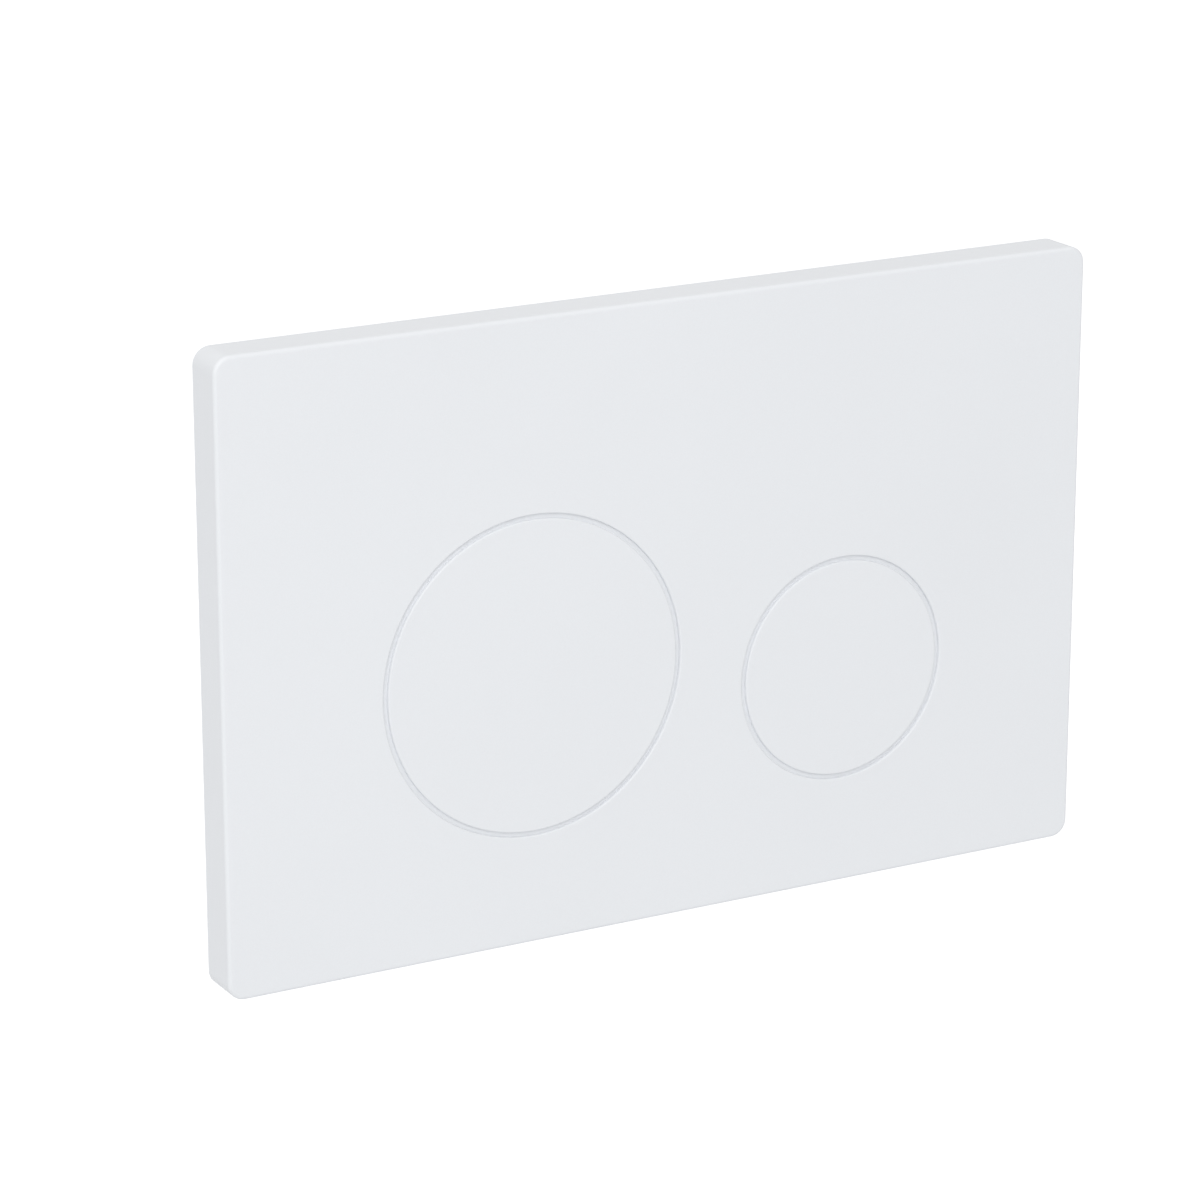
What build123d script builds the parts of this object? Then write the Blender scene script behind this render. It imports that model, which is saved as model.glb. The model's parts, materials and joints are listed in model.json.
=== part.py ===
from build123d import *
import os
from collections import namedtuple
from math import cos, pi, sin, sqrt

# Dual flush button plate for a concealed cistern, in millimetres.
# X runs to the right, Y into the wall and Z up. The origin is the middle of the wall plane,
# where the cover's rim rests. A height is a distance in front of the wall, along -Y.

# Cover
plate_width = 246.0
plate_height = 161.3
plate_depth = 12.0
plate_corner_radius = 4.5
plate_edge_chamfer = 0.8
face_thickness = 2.4
rim_thickness = 2.4
cover_rib_thickness = 1.4
cover_rib_height = 2.4
cover_rib_columns = 4
cover_rib_rows = 3

# Snap hooks of the cover, for the frame and for the housing
hook_width = 12.0
hook_thickness = 1.8
hook_barb = 1.6
hook_barb_height = 1.0
hook_wall_gap = 0.6
hook_clearance = 0.3
hook_play = 0.2
hook_tip_clearance = 0.6
hook_side_clearance = 1.0
frame_hook_spacing = 150.0
housing_hook_spacing = 55.0
housing_hook_count = 3

# Buttons
full_button_diameter = 80.8
half_button_diameter = 57.2
full_margin_share = 0.1793
half_margin_share = 0.1764
button_bottom_z = -51.05
button_gap = 1.2
lip_thickness = 0.9
lip_clearance = 0.05
shoulder_reach = 1.0
shoulder_clearance = 0.4
button_travel = 5.0
button_depth = 10.0
cap_thickness = 2.4
skirt_thickness = 1.8
button_rib_count = 6
button_rib_thickness = 1.4
button_rib_height = 2.0
stem_width = 11.0
stem_tail = 2.3
stop_clearance = 0.3

# Button housing
housing_margin = 1.0
housing_wall = 2.0
housing_corner_radius = 4.0
flange_thickness = 2.0
flange_reach = 2.4
floor_thickness = 2.0
floor_clearance = 5.0
floor_rib_columns = 4
floor_rib_rows = 2
floor_rib_thickness = 1.6
floor_rib_height = 2.4
floor_rib_relief = 2.0
sleeve_wall = 1.6
sleeve_clearance = 0.2

# Return springs
spring_wire_diameter = 1.4
spring_wire_sides = 5
spring_turns = 3.5
spring_steps_per_turn = 8
spring_clearance = 0.5
spring_end_gap = 0.05

# Stem clips
clip_thickness = 1.0
clip_leg_width = 4.2
clip_bow_width = 3.0
clip_clearance = 0.2
clip_notch_depth = 1.4
clip_notch_play = 0.05

# Push rods, their caps and lock nuts
rod_diameter = 8.0
rod_length = 70.0
rod_play = 0.3
rod_cap_flats = 15.0
rod_cap_length = 10.0
rod_cap_wall = 3.0
lock_nut_flats = 13.0
lock_nut_height = 4.0
thread_clearance = 0.05

# Mounting frame
frame_side_gap = 6.0
frame_edge_gap = 6.0
frame_corner_radius = 4.0
frame_wall_gap = 0.3
frame_thickness = 2.8
frame_lip_thickness = 1.6
frame_lip_height = 1.6
frame_window_clearance = 1.2
frame_collar_thickness = 2.4
frame_collar_depth = 10.0
bridge_clearance = 1.2
bridge_thickness = 3.0
bridge_margin = 3.6
bridge_rib_thickness = 2.4
bridge_rib_depth = 5.0
guide_wall = 3.0
guide_clearance = 0.2
guide_length = 13.0

# Distance bolts and their wing nuts
bolt_front_diameter = 6.0
bolt_rear_diameter = 8.0
bolt_rear_length = 24.0
bolt_collar_flats = 13.0
bolt_collar_length = 8.0
bolt_face_clearance = 1.4
bolt_slot_width = 7.0
bolt_slot_length = 16.0
wing_nut_flats = 11.0
wing_nut_height = 4.0
wing_nut_span = 22.0
wing_thickness = 3.0
wing_relief = 1.5

# Rubber buffers under each button
buffer_count = 3
buffer_width = 6.0
buffer_reach = 3.0

# Heights in front of the wall, worked out from front to back
face_back = plate_depth - face_thickness
lip_back = plate_depth - lip_thickness
shoulder_front = lip_back - lip_clearance
housing_front = face_back - cover_rib_height
flange_back = housing_front - flange_thickness
cap_back = plate_depth - cap_thickness
spring_seat = cap_back - button_rib_height
skirt_end = plate_depth - button_depth
floor_front = skirt_end - button_travel - floor_clearance
floor_back = floor_front - floor_thickness
sleeve_front = spring_seat - button_travel - stop_clearance
clip_front = floor_back - clip_clearance
clip_back = clip_front - clip_thickness
stem_end = clip_back - stem_tail
rod_cap_front = stem_end - rod_play
rod_cap_back = rod_cap_front - rod_cap_length
rod_front = rod_cap_front - rod_cap_wall
lock_nut_back = rod_cap_back - lock_nut_height
bridge_front = lock_nut_back - button_travel - bridge_clearance
bridge_back = bridge_front - bridge_thickness
frame_back = frame_wall_gap
frame_front = frame_back + frame_thickness
housing_hook_tip = flange_back - hook_play - hook_barb_height
hook_catch = hook_wall_gap + hook_barb_height + hook_play
bolt_front = face_back - bolt_face_clearance
bolt_collar_back = frame_back - bolt_collar_length
buffer_top = skirt_end - button_travel - stop_clearance

# Widths and radii that one piece takes from another
sleeve_bore = stem_width + 2 * sleeve_clearance
sleeve_radius = sleeve_bore / sqrt(2) + sleeve_wall
spring_radius = sleeve_radius + spring_clearance + spring_wire_diameter / 2
spring_seat_radius = spring_radius + spring_wire_diameter
clip_mouth = stem_width - 2 * clip_notch_depth + 2 * clip_notch_play
clip_width = clip_mouth + 2 * clip_leg_width
clip_span = stem_width + 2 * (clip_notch_play + clip_bow_width)
rod_radius = rod_diameter / 2
guide_bore = rod_radius + guide_clearance
guide_half_width = guide_bore + guide_wall
coil_radius = spring_radius / cos(pi / spring_steps_per_turn)
bolt_front_radius = bolt_front_diameter / 2

# The two buttons, resting on one line, each with the radius of its opening and of its body behind the lip
Button = namedtuple("Button", "name x z radius opening body")


def place_button(name, side, diameter, margin_share):
    """Button whose outer edge keeps a share of the plate's width free, on the left (-1) or right (1)."""
    radius = diameter / 2
    opening = radius + button_gap
    x = side * (plate_width / 2 - margin_share * plate_width - radius)
    return Button(name, x, button_bottom_z + radius, radius, opening, opening + shoulder_reach)


full = place_button("full_flush", -1, full_button_diameter, full_margin_share)
half = place_button("half_flush", 1, half_button_diameter, half_margin_share)
buttons = (full, half)

# Rectangles round the buttons, from the inside of the housing out to the frame's collar
chamber_left = min(button.x - button.body for button in buttons) - housing_margin
chamber_right = max(button.x + button.body for button in buttons) + housing_margin
chamber_bottom = min(button.z - button.body for button in buttons) - housing_margin
chamber_top = max(button.z + button.body for button in buttons) + housing_margin
chamber_centre = ((chamber_left + chamber_right) / 2, (chamber_bottom + chamber_top) / 2)
chamber_width = chamber_right - chamber_left
chamber_height = chamber_top - chamber_bottom
flange_growth = housing_wall + flange_reach
window_growth = flange_growth + hook_clearance + hook_thickness + frame_window_clearance
collar_growth = window_growth + frame_collar_thickness


def chamber_outline(growth, mode=Mode.ADD):
    """Rounded rectangle round the buttons, larger than the housing's inside by a growth on each side."""
    with Locations(chamber_centre):
        RectangleRounded(
            chamber_width + 2 * growth,
            chamber_height + 2 * growth,
            housing_corner_radius + growth,
            mode=mode,
        )


# Outline of the frame inside the cover, with its bolts midway in the side bars
inner_width = plate_width - 2 * rim_thickness
inner_height = plate_height - 2 * rim_thickness
frame_width = inner_width - 2 * frame_side_gap
frame_height = inner_height - 2 * frame_edge_gap
collar_width = chamber_width + 2 * collar_growth
bolt_x = (abs(chamber_centre[0]) + collar_width / 2 + frame_width / 2) / 2
bolt_places = {"left": (-bolt_x, 0), "right": (bolt_x, 0)}

# Bridge across the frame, tall enough for the guides of both push rods
bridge_bottom = min(button.z for button in buttons) - guide_half_width - bridge_margin
bridge_top = max(button.z for button in buttons) + guide_half_width + bridge_margin
bridge_height = bridge_top - bridge_bottom
bridge_centre = (chamber_centre[0], (bridge_bottom + bridge_top) / 2)

os.makedirs("parts", exist_ok=True)


def level(height):
    """Sketch plane parallel to the wall at a height in front of it, facing the viewer."""
    return Plane.XZ.offset(height)


def hook_points(centre_z, half_height, tip, edge):
    """Side view of a snap hook in Y and Z: an arm past an edge, with a barb turned in at its tip."""
    inner = half_height + hook_clearance
    outline = (
        (face_back, inner),
        (tip + hook_barb_height, inner),
        (tip + hook_barb_height, inner - hook_barb),
        (tip, inner),
        (tip, inner + hook_thickness),
        (face_back, inner + hook_thickness),
    )
    return [(-height, centre_z + edge * reach) for height, reach in outline]


# Cover: a moulded shell with a soft front edge and two round openings
with BuildPart() as face_plate:
    with BuildSketch(level(0)):
        RectangleRounded(plate_width, plate_height, plate_corner_radius)
    extrude(amount=plate_depth)
    with BuildSketch(level(0)):
        Rectangle(inner_width, inner_height)
    extrude(amount=face_back, mode=Mode.SUBTRACT)

    # Field behind the buttons, thinned so that their shoulders can stop close behind the face
    with BuildSketch(level(face_back)):
        with Locations(chamber_centre):
            Rectangle(chamber_width, chamber_height)
    extrude(amount=lip_back - face_back, mode=Mode.SUBTRACT)

    # Stiffening ribs across the back of the face, cut away over the wing nuts
    with BuildSketch(level(lip_back)):
        with GridLocations(inner_width / (cover_rib_columns + 1), 0, cover_rib_columns, 1):
            Rectangle(cover_rib_thickness, inner_height)
        with GridLocations(0, inner_height / (cover_rib_rows + 1), 1, cover_rib_rows):
            Rectangle(inner_width, cover_rib_thickness)
        with Locations(*bolt_places.values()):
            Circle(wing_nut_span / 2 + wing_relief, mode=Mode.SUBTRACT)
    extrude(amount=housing_front - lip_back)

    # Button openings, with more room between the ribs for the buttons' shoulders
    with BuildSketch(level(plate_depth)):
        for button in buttons:
            with Locations((button.x, button.z)):
                Circle(button.opening)
    extrude(amount=-plate_depth, mode=Mode.SUBTRACT)
    with BuildSketch(level(lip_back)):
        for button in buttons:
            with Locations((button.x, button.z)):
                Circle(button.body + shoulder_clearance)
    extrude(amount=-lip_back, mode=Mode.SUBTRACT)
    chamfer(face_plate.faces().sort_by(Axis.Y)[0].outer_wire().edges(), plate_edge_chamfer)

    # Snap hooks that reach behind the edges of the frame and of the housing flange
    for edge in (-1, 1):
        for x in (-frame_hook_spacing / 2, frame_hook_spacing / 2):
            with BuildSketch(Plane.YZ.offset(x)):
                Polygon(*hook_points(0, frame_height / 2, hook_wall_gap, edge), align=None)
            extrude(amount=hook_width / 2, both=True)
        for place in range(housing_hook_count):
            x = chamber_centre[0] + (place - (housing_hook_count - 1) / 2) * housing_hook_spacing
            half_height = chamber_height / 2 + flange_growth
            with BuildSketch(Plane.YZ.offset(x)):
                Polygon(*hook_points(chamber_centre[1], half_height, housing_hook_tip, edge), align=None)
            extrude(amount=hook_width / 2, both=True)

face_plate.part.label = "face_plate"
export_step(face_plate.part, "parts/face_plate.step")

# Buttons: a flush cap on a wider body that stops behind the cover's lip, with a square stem
for button in buttons:
    centre = (button.x, button.z)
    rib_reach = button.body - skirt_thickness / 2
    with BuildPart() as flush_button:
        with BuildSketch(level(skirt_end)):
            with Locations(centre):
                Circle(button.body)
        extrude(amount=shoulder_front - skirt_end)
        with BuildSketch(level(shoulder_front)):
            with Locations(centre):
                Circle(button.radius)
        extrude(amount=plate_depth - shoulder_front)
        with BuildSketch(level(skirt_end)):
            with Locations(centre):
                Circle(button.body - skirt_thickness)
        extrude(amount=cap_back - skirt_end, mode=Mode.SUBTRACT)

        # Radial ribs and the boss that the spring presses on
        with BuildSketch(level(cap_back)):
            with Locations(centre):
                RegularPolygon(spring_seat_radius, button_rib_count, major_radius=False)
                with PolarLocations(rib_reach / 2, button_rib_count):
                    Rectangle(rib_reach, button_rib_thickness)
        extrude(amount=-button_rib_height)

        # Square stem with two notches for its clip
        with BuildSketch(level(cap_back)):
            with Locations(centre):
                Rectangle(stem_width, stem_width)
        extrude(amount=stem_end - cap_back)
        with BuildSketch(level(clip_front + clip_notch_play)):
            with Locations(centre):
                with GridLocations(stem_width, 0, 2, 1):
                    Rectangle(2 * clip_notch_depth, stem_width)
        extrude(amount=-clip_thickness - 2 * clip_notch_play, mode=Mode.SUBTRACT)

    flush_button.part.label = f"{button.name}_button"
    export_step(flush_button.part, f"parts/{button.name}_button.step")

# Housing: a tray with a flange, a ribbed floor and a square-bored guide sleeve for each button
with BuildPart() as button_housing:
    with BuildSketch(level(housing_front)):
        chamber_outline(housing_wall)
    extrude(amount=floor_back - housing_front)
    with BuildSketch(level(housing_front)):
        chamber_outline(flange_growth)
    extrude(amount=-flange_thickness)
    with BuildSketch(level(housing_front)):
        chamber_outline(0)
    extrude(amount=floor_front - housing_front, mode=Mode.SUBTRACT)
    with BuildSketch(level(floor_front)):
        for button in buttons:
            with Locations((button.x, button.z)):
                Circle(sleeve_radius)
    extrude(amount=sleeve_front - floor_front)

    # Ribs behind the floor, cut away where the clips move
    with BuildSketch(level(floor_back)):
        with Locations(chamber_centre):
            with GridLocations(chamber_width / (floor_rib_columns + 1), 0, floor_rib_columns, 1):
                Rectangle(floor_rib_thickness, chamber_height)
            with GridLocations(0, chamber_height / (floor_rib_rows + 1), 1, floor_rib_rows):
                Rectangle(chamber_width, floor_rib_thickness)
        for button in buttons:
            with Locations((button.x, button.z)):
                Rectangle(
                    clip_width + 2 * floor_rib_relief,
                    clip_span + 2 * floor_rib_relief,
                    mode=Mode.SUBTRACT,
                )
    extrude(amount=-floor_rib_height)

    # Square bore of each sleeve
    with BuildSketch(level(sleeve_front)):
        for button in buttons:
            with Locations((button.x, button.z)):
                Rectangle(sleeve_bore, sleeve_bore)
    extrude(amount=floor_back - sleeve_front, mode=Mode.SUBTRACT)

button_housing.part.label = "button_housing"
export_step(button_housing.part, "parts/button_housing.step")

# Return springs between the housing floor and the boss of the cap
spring_start = floor_front + spring_end_gap + spring_wire_diameter / 2
spring_rise = spring_seat - spring_end_gap - spring_wire_diameter / 2 - spring_start
spring_steps = round(spring_turns * spring_steps_per_turn)
for button in buttons:
    coil = []
    for step in range(spring_steps + 1):
        angle = 2 * pi * step / spring_steps_per_turn
        height = spring_start + spring_rise * step / spring_steps
        coil.append((button.x + coil_radius * cos(angle), -height, button.z + coil_radius * sin(angle)))
    with BuildPart() as return_spring:
        with BuildLine():
            Polyline(*coil)
        with BuildSketch(Plane(origin=coil[0], z_dir=Vector(coil[1]) - Vector(coil[0]))):
            RegularPolygon(spring_wire_diameter / 2, spring_wire_sides)
        sweep(transition=Transition.RIGHT)

    return_spring.part.label = f"{button.name}_spring"
    export_step(return_spring.part, f"parts/{button.name}_spring.step")

# Rubber buffers on the housing floor that each skirt lands on at the end of its travel
for button in buttons:
    with BuildPart() as skirt_buffers:
        with BuildSketch(level(floor_front)):
            with Locations((button.x, button.z)):
                with PolarLocations(button.body - buffer_reach / 2, buffer_count, start_angle=90):
                    Rectangle(buffer_reach, buffer_width)
        extrude(amount=buffer_top - floor_front)

    skirt_buffers.part.label = f"{button.name}_buffers"
    export_step(skirt_buffers.part, f"parts/{button.name}_buffers.step")

# Flat clips that straddle the notches of each stem and keep it in its sleeve
for button in buttons:
    bow_bottom = button.z + stem_width / 2 + clip_notch_play
    leg_length = stem_width + clip_notch_play
    with BuildPart() as stem_clip:
        with BuildSketch(level(clip_front)):
            with Locations((button.x, bow_bottom)):
                Rectangle(clip_width, clip_bow_width, align=(Align.CENTER, Align.MIN))
                with GridLocations(clip_mouth + clip_leg_width, 0, 2, 1):
                    Rectangle(clip_leg_width, leg_length, align=(Align.CENTER, Align.MAX))
        extrude(amount=-clip_thickness)

    stem_clip.part.label = f"{button.name}_stem_clip"
    export_step(stem_clip.part, f"parts/{button.name}_stem_clip.step")

# Push rods on the buttons' axes, with adjusting caps and lock nuts on their front ends
for button in buttons:
    centre = (button.x, button.z)
    with BuildPart() as push_rod:
        with BuildSketch(level(rod_front)):
            with Locations(centre):
                Circle(rod_radius)
        extrude(amount=-rod_length)

    push_rod.part.label = f"{button.name}_push_rod"
    export_step(push_rod.part, f"parts/{button.name}_push_rod.step")

    with BuildPart() as rod_cap:
        with BuildSketch(level(rod_cap_front)):
            with Locations(centre):
                RegularPolygon(rod_cap_flats / 2, 6, major_radius=False)
        extrude(amount=-rod_cap_length)
        with BuildSketch(level(rod_cap_back)):
            with Locations(centre):
                Circle(rod_radius + thread_clearance)
        extrude(amount=rod_cap_length - rod_cap_wall + thread_clearance, mode=Mode.SUBTRACT)

    rod_cap.part.label = f"{button.name}_rod_cap"
    export_step(rod_cap.part, f"parts/{button.name}_rod_cap.step")

    with BuildPart() as lock_nut:
        with BuildSketch(level(rod_cap_back)):
            with Locations(centre):
                RegularPolygon(lock_nut_flats / 2, 6, major_radius=False)
                Circle(rod_radius + thread_clearance, mode=Mode.SUBTRACT)
        extrude(amount=-lock_nut_height)

    lock_nut.part.label = f"{button.name}_lock_nut"
    export_step(lock_nut.part, f"parts/{button.name}_lock_nut.step")

# Frame: a flange with a lip, a collar round the window and a bridge that guides the rods
with BuildPart() as mounting_frame:
    with BuildSketch(level(frame_back)):
        RectangleRounded(frame_width, frame_height, frame_corner_radius)
    extrude(amount=frame_thickness + frame_lip_height)
    with BuildSketch(level(frame_front)):
        RectangleRounded(
            frame_width - 2 * frame_lip_thickness,
            frame_height - 2 * frame_lip_thickness,
            frame_corner_radius - frame_lip_thickness,
        )
    extrude(amount=frame_lip_height, mode=Mode.SUBTRACT)
    with BuildSketch(level(frame_back)):
        chamber_outline(collar_growth)
    extrude(amount=-frame_collar_depth)
    with BuildSketch(level(frame_front)):
        chamber_outline(window_growth)
    extrude(amount=-frame_thickness - frame_collar_depth, mode=Mode.SUBTRACT)

    # Arms back from the collar, and the bridge between them with its two stiffening edges
    with BuildSketch(level(frame_back)):
        with Locations(bridge_centre):
            with GridLocations(collar_width - frame_collar_thickness, 0, 2, 1):
                Rectangle(frame_collar_thickness, bridge_height)
    extrude(amount=bridge_back - frame_back)
    with BuildSketch(level(bridge_front)):
        with Locations(bridge_centre):
            Rectangle(collar_width, bridge_height)
    extrude(amount=-bridge_thickness)
    with BuildSketch(level(bridge_back)):
        with Locations(bridge_centre):
            with GridLocations(0, bridge_height - bridge_rib_thickness, 1, 2):
                Rectangle(collar_width, bridge_rib_thickness)
    extrude(amount=-bridge_rib_depth)

    # Guides for the push rods
    with BuildSketch(level(bridge_back)):
        for button in buttons:
            with Locations((button.x, button.z)):
                Rectangle(2 * guide_half_width, 2 * guide_half_width)
    extrude(amount=bridge_front - guide_length - bridge_back)
    with BuildSketch(level(bridge_front)):
        for button in buttons:
            with Locations((button.x, button.z)):
                Circle(guide_bore)
    extrude(amount=-guide_length, mode=Mode.SUBTRACT)

    # Slots for the distance bolts and ledges for the barbs of the cover's hooks
    with BuildSketch(level(frame_back)):
        with Locations(*bolt_places.values()):
            SlotOverall(bolt_slot_length, bolt_slot_width, rotation=90)
    extrude(amount=frame_thickness, mode=Mode.SUBTRACT)
    with BuildSketch(level(frame_back)):
        with GridLocations(frame_hook_spacing, frame_height, 2, 2):
            Rectangle(
                hook_width + 2 * hook_side_clearance,
                2 * (hook_barb - hook_clearance + hook_tip_clearance),
            )
    extrude(amount=hook_catch - frame_back, mode=Mode.SUBTRACT)

mounting_frame.part.label = "mounting_frame"
export_step(mounting_frame.part, "parts/mounting_frame.step")

# Distance bolts behind the frame, each with a hexagonal collar and a wing nut in front
for side, place in bolt_places.items():
    with BuildPart() as distance_bolt:
        with BuildSketch(level(bolt_front)):
            with Locations(place):
                Circle(bolt_front_radius)
        extrude(amount=bolt_collar_back - bolt_front)
        with BuildSketch(level(frame_back)):
            with Locations(place):
                RegularPolygon(bolt_collar_flats / 2, 6, major_radius=False)
        extrude(amount=-bolt_collar_length)
        with BuildSketch(level(bolt_collar_back)):
            with Locations(place):
                Circle(bolt_rear_diameter / 2)
        extrude(amount=-bolt_rear_length)

    distance_bolt.part.label = f"{side}_distance_bolt"
    export_step(distance_bolt.part, f"parts/{side}_distance_bolt.step")

    with BuildPart() as wing_nut:
        with BuildSketch(level(frame_front)):
            with Locations(place):
                Rectangle(wing_thickness, wing_nut_span)
                RegularPolygon(wing_nut_flats / 2, 6, major_radius=False)
                Circle(bolt_front_radius + thread_clearance, mode=Mode.SUBTRACT)
        extrude(amount=wing_nut_height)

    wing_nut.part.label = f"{side}_wing_nut"
    export_step(wing_nut.part, f"parts/{side}_wing_nut.step")
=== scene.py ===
# %% [markdown]
# This lesson dresses a flush button plate for a concealed cistern.
# A white cover carries a large and a small round button, and behind it sit a tray, springs,
# push rods and a fixing frame.
# The solids come from a CAD pack and stay where they are.
# Blender adds what the solids leave plain: true rounds, coiled springs, screw threads,
# soft edges and finishes.

# %% Load the frame
import json
from math import cos, pi, radians, sin

import bmesh
import bpy
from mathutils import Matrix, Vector

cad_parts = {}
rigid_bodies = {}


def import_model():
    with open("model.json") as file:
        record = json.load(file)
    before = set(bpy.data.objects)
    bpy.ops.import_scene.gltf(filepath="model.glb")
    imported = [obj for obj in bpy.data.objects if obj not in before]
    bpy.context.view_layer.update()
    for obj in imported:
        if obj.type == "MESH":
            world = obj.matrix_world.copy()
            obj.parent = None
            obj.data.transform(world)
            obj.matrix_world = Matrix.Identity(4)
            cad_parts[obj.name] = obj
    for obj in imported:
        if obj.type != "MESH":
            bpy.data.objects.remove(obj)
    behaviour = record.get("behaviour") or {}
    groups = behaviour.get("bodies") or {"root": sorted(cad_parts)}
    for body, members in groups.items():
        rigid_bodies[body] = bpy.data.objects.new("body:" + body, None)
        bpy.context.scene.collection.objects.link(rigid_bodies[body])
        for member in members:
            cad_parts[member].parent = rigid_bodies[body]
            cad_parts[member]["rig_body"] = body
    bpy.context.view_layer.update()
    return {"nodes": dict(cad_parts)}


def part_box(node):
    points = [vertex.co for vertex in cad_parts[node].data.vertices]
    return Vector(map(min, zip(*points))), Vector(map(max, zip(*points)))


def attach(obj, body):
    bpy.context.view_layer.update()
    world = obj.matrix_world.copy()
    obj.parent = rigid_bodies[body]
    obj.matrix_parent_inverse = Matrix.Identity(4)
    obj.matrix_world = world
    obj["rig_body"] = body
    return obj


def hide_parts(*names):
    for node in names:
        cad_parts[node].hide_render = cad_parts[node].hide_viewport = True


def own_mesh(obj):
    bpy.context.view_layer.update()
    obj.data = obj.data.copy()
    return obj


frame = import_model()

nodes = frame["nodes"]
scene = bpy.context.scene
print("CAD nodes:", len(nodes))

# %% [markdown]
# Sizes are easier to read in millimetres, as on a drawing, so one factor turns them into
# Blender's metres.
# The places and outer sizes are read from the boxes of the CAD nodes, so the dressed pieces
# can't drift away from the solids.
# A height is a distance in front of the wall: the wall is at 0, the face of the cover is in
# front and the rods are behind.

# %% Places read from the CAD boxes
MM = 0.001


def box_mm(node):
    """Lowest and highest corner of a CAD node in millimetres."""
    low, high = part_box(node)
    return low / MM, high / MM


def middle_mm(node):
    """X and Z of the middle of a CAD node in millimetres."""
    low, high = box_mm(node)
    return ((low.x + high.x) / 2, (low.z + high.z) / 2)


plate_low, plate_high = box_mm("face_plate")
plate_width = plate_high.x - plate_low.x
plate_height = plate_high.z - plate_low.z
plate_depth = -plate_low.y
print(f"cover {plate_width:.1f} x {plate_height:.1f} x {plate_depth:.1f} mm")

# %% [markdown]
# Every new piece is drawn from outlines: closed rows of points at one height.
# Two outlines with the same number of points are joined by a strip of quads, and a flat region
# with holes is filled between its outlines.
# Drawing a piece this way gives exact rounds and a closed mesh, which a stack of bevel
# modifiers on triangles would not.

# %% Outlines
def polar(centre, reach, angle):
    """X and Z of a point at a reach and an angle from a centre."""
    return centre[0] + reach * cos(angle), centre[1] + reach * sin(angle)


def circle_outline(centre, radius, steps):
    """Points of a circle in X and Z."""
    return [polar(centre, radius, 2 * pi * step / steps) for step in range(steps)]


def rounded_outline(width, height, radius, steps=12):
    """Points of a rectangle with round corners in X and Z, about the origin."""
    points = []
    for corner, (side, edge) in enumerate(((1, 1), (-1, 1), (-1, -1), (1, -1))):
        middle = (side * (width / 2 - radius), edge * (height / 2 - radius))
        for step in range(steps + 1):
            points.append(polar(middle, radius, pi / 2 * (corner + step / steps)))
    return points


def quarter_round(radius, steps=8):
    """Inset and drop of the points along a quarter circle, from the flat face to the side."""
    turns = [pi / 2 * step / steps for step in range(steps + 1)]
    return [(radius * (1 - sin(turn)), radius * (1 - cos(turn))) for turn in turns]


sample = quarter_round(1.0, 4)
print("quarter round of 1 mm:", [tuple(round(v, 2) for v in point) for point in sample])

# %% [markdown]
# The outlines become vertices, and the vertices become faces.
# A row of loops with a face on each end makes a closed piece, like a tube with two lids.
# Blender's own primitives would be quicker for a disc or a bar, but they don't share their
# vertices with the strips beside them.

# %% Strips and fills
def add_point(bm, x, z, height):
    """Vertex at X, Z and a height in front of the wall, all in millimetres."""
    return bm.verts.new((x * MM, -height * MM, z * MM))


def add_loop(bm, outline, height):
    """Vertices of an outline at a height in front of the wall."""
    return [add_point(bm, x, z, height) for x, z in outline]


def join_loops(bm, loops):
    """Strips of quads from each closed loop to the next."""
    for first, second in zip(loops, loops[1:]):
        for index in range(len(first)):
            after = (index + 1) % len(first)
            bm.faces.new((first[index], first[after], second[after], second[index]))


def close_tube(bm, loops):
    """Strips of quads along a row of loops, and a face on each end."""
    join_loops(bm, loops)
    bm.faces.new(loops[0])
    bm.faces.new(loops[-1])


def fill_flat(bm, loops):
    """Fill the flat region inside the first loop and outside the others."""
    edges = []
    for loop in loops:
        for index, vertex in enumerate(loop):
            after = loop[(index + 1) % len(loop)]
            edges.append(bm.edges.get((vertex, after)) or bm.edges.new((vertex, after)))
    bmesh.ops.triangle_fill(bm, edges=edges, use_beauty=True, normal=(0, -1, 0))


# %% [markdown]
# A finished mesh becomes an object that rides on its CAD body and stands for its CAD node.
# Faces are shaded smooth, and edges sharper than a set angle stay crisp.
# Weighted normals let the large flat faces keep their own direction, so a round beside them
# doesn't tilt their shading.

# %% From drawn faces to a piece
LARGE_FACE_WEIGHT = 100


def mesh_piece(bm, name):
    """Object made from the drawn faces, with all faces turned outwards."""
    bmesh.ops.recalc_face_normals(bm, faces=bm.faces)
    mesh = bpy.data.meshes.new(name)
    bm.to_mesh(mesh)
    bm.free()
    piece = bpy.data.objects.new(name, mesh)
    scene.collection.objects.link(piece)
    return piece


def coat(piece, material):
    """Smooth faces with one finish all over."""
    mesh = piece.data
    mesh.polygons.foreach_set("use_smooth", [True] * len(mesh.polygons))
    mesh.materials.clear()
    mesh.materials.append(material)


def even_normals(piece):
    """Modifier that turns the shading of each edge towards its largest face."""
    normals = piece.modifiers.new("even_normals", "WEIGHTED_NORMAL")
    normals.weight = LARGE_FACE_WEIGHT
    return normals


def shade(piece, material, crease=32):
    """Smooth shading with crisp edges above an angle in degrees, and the piece's finish."""
    coat(piece, material)
    piece.data.set_sharp_from_angle(angle=radians(crease))
    even_normals(piece).keep_sharp = True


def stand_for(piece, node):
    """Let a piece take the place of a CAD node, on its body."""
    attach(piece, nodes[node]["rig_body"])
    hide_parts(node)
    print(f"{piece.name}: {len(piece.data.polygons)} faces, stands for {node}")


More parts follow.
